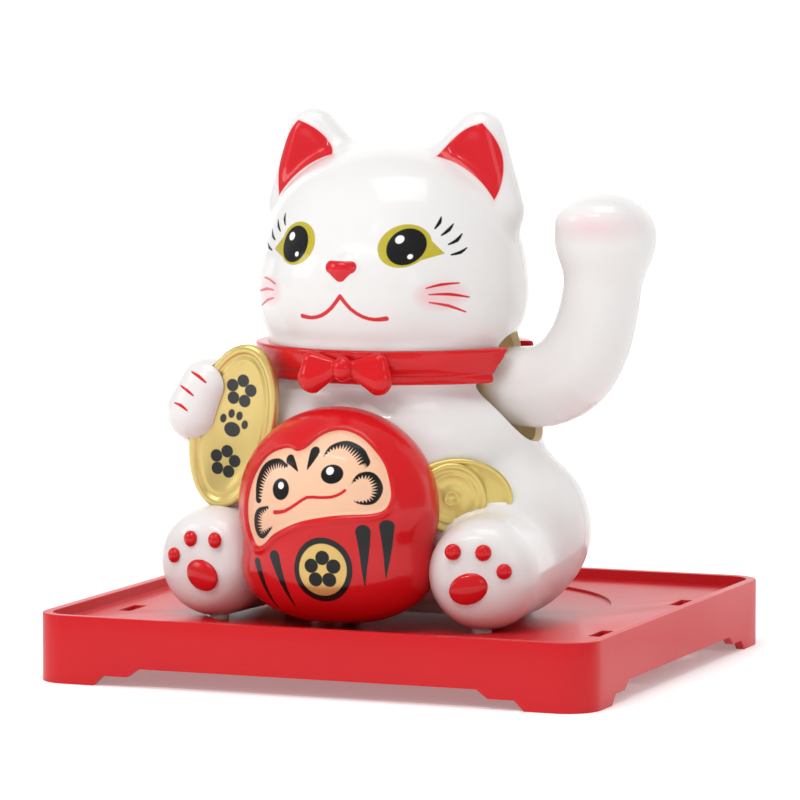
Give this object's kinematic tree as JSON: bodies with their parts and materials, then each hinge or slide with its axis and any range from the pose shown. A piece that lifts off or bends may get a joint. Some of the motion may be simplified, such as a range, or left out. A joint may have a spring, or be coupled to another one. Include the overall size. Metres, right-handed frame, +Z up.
{
  "type": "beckoning cat figurine",
  "caption": "Beckoning cat with a waving arm, an oval coin and a round doll, seated on a square red display tray.",
  "frame": {"origin": "centre of the tray's footprint, on the surface that its feet stand on", "axes": "+Z up, -Y the way the cat faces, +X the cat's left side, where the waving arm is"},
  "size_m": [0.15, 0.139, 0.144],
  "materials": {
    "white_shell": "gloss moulded",
    "red_gloss": "gloss paint",
    "red_tray": "satin moulded",
    "gold_paint": "metallic paint",
    "inner_plastic": "moulded",
    "steel": "zinc plated",
    "bush_brass": "turned",
    "magnet_steel": "nickel plated",
    "board_green": "solder mask",
    "copper": "enamelled wire",
    "black_plastic": "moulded",
    "cell_sleeve": "printed sleeve",
    "lead_red": "insulation",
    "lead_black": "insulation"
  },
  "bodies": {
    "cat_and_tray": {"tray": "red_tray", "front_shell": "white_shell", "rear_shell": "white_shell", "collar": "red_gloss", "bow": "red_gloss", "foot_pegs": "white_shell", "paw_pads": "red_gloss", "holding_arm": "white_shell", "oval_coin": "gold_paint", "hip_coin": "gold_paint", "daruma_doll": "red_gloss", "base_plate": "inner_plastic", "tray_screws": "steel", "plate_screws": "steel", "left_bracket": "inner_plastic", "right_bracket": "inner_plastic", "bracket_screws": "steel", "left_bush": "bush_brass", "right_bush": "bush_brass", "circuit_board": "board_green", "coil_bobbin": "inner_plastic", "coil_winding": "copper", "transistor": "black_plastic", "capacitor": "black_plastic", "board_screws": "steel", "battery_holder": "inner_plastic", "battery_cell": "cell_sleeve", "battery_spring": "steel", "battery_contact": "steel", "switch_housing": "black_plastic", "battery_red_lead": "lead_red", "battery_black_lead": "lead_black", "switch_lead": "lead_red"},
    "arm_and_pendulum": {"arm_shaft": "steel", "shaft_clip": "steel", "arm_front_half": "white_shell", "arm_rear_half": "white_shell", "pendulum_lever": "inner_plastic", "counterweight": "steel", "magnet": "magnet_steel"},
    "rear_battery_cover": {"battery_cover": "white_shell"},
    "power_switch": {"switch_knob": "black_plastic"}
  },
  "joints": [
    {"name": "arm_swing", "type": "hinge", "parent": "cat_and_tray", "child": "arm_and_pendulum", "pos_m": [0.02, -0.003, 0.0732], "axis": [1, 0, 0], "range_deg": [-15, 15]},
    {"name": "cover_slide", "type": "slide", "parent": "cat_and_tray", "child": "rear_battery_cover", "axis": [0, 1, 0], "range_m": [0, 0.015]},
    {"name": "switch_slide", "type": "slide", "parent": "cat_and_tray", "child": "power_switch", "axis": [1, 0, 0], "range_m": [0, 0.0025]}
  ]
}
